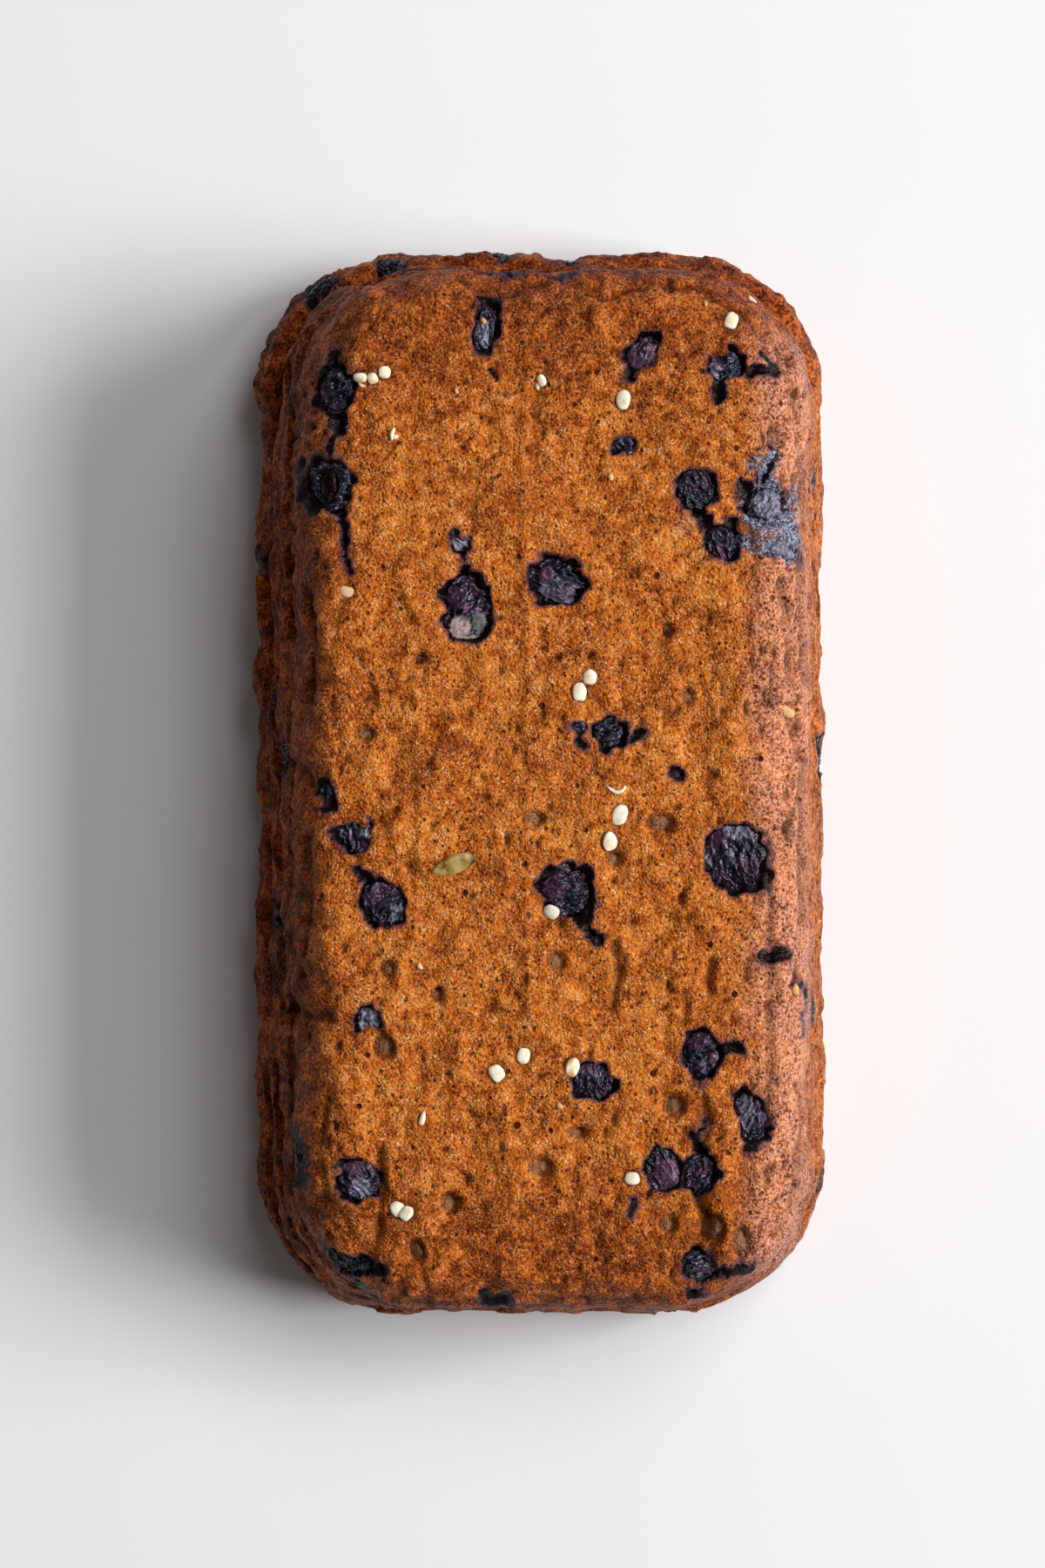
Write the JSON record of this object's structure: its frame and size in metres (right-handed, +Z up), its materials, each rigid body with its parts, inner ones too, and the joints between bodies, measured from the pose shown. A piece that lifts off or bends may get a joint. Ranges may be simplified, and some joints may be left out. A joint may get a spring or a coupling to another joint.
{
  "type": "lemon blueberry loaf",
  "caption": "Whole uncut quick-bread loaf, turned out with the smooth tin side up, with baked-in blueberries, hulled seeds on the crust and torn ledges round its walls",
  "frame": {"origin": "under the middle of the loaf, on the surface that it rests on", "axes": "+Z up, out of the smooth tin side; +Y along the long side, towards the end with the large torn ledge; +X across, towards the smoother long wall"},
  "size_m": [0.113, 0.212, 0.0588],
  "materials": {
    "crust": "baked tin-side crust, chestnut brown, dull with a faint sheen",
    "berry_skin": "baked blueberry skin, near black with a blue to purple cast, moist"
  },
  "bodies": {
    "root": {"loaf": "crust", "berry_left_shoulder_a": "berry_skin", "berry_left_shoulder_b": "berry_skin", "berry_far_middle": "berry_skin", "berry_far_right": "berry_skin", "berry_far_right_edge": "berry_skin", "berry_far_small": "berry_skin", "berry_cluster_a": "berry_skin", "berry_cluster_b": "berry_skin", "berry_cluster_c": "berry_skin", "berry_cluster_d": "berry_skin", "berry_cluster_e": "berry_skin", "berry_middle_small": "berry_skin", "berry_middle_left": "berry_skin", "berry_middle_right": "berry_skin", "berry_pair_small": "berry_skin", "berry_pair_large": "berry_skin", "berry_left_small": "berry_skin", "berry_left_upper": "berry_skin", "berry_left_lower": "berry_skin", "berry_right_large": "berry_skin", "berry_centre": "berry_skin", "berry_left_grey": "berry_skin", "berry_right_split": "berry_skin", "berry_near_centre": "berry_skin", "berry_right_long": "berry_skin", "berry_near_left": "berry_skin", "berry_near_right_a": "berry_skin", "berry_near_right_b": "berry_skin", "berry_near_corner_right": "berry_skin", "berry_near_corner_left": "berry_skin", "berry_wall_left_a": "berry_skin", "berry_wall_left_b": "berry_skin", "berry_wall_left_c": "berry_skin", "berry_wall_left_d": "berry_skin", "berry_wall_right_a": "berry_skin", "berry_wall_right_b": "berry_skin", "berry_wall_right_c": "berry_skin", "berry_wall_right_d": "berry_skin", "berry_wall_far_a": "berry_skin", "berry_wall_far_b": "berry_skin", "berry_wall_far_c": "berry_skin", "berry_wall_far_left": "berry_skin", "berry_wall_near_a": "berry_skin", "berry_wall_near_b": "berry_skin"}
  },
  "joints": []
}
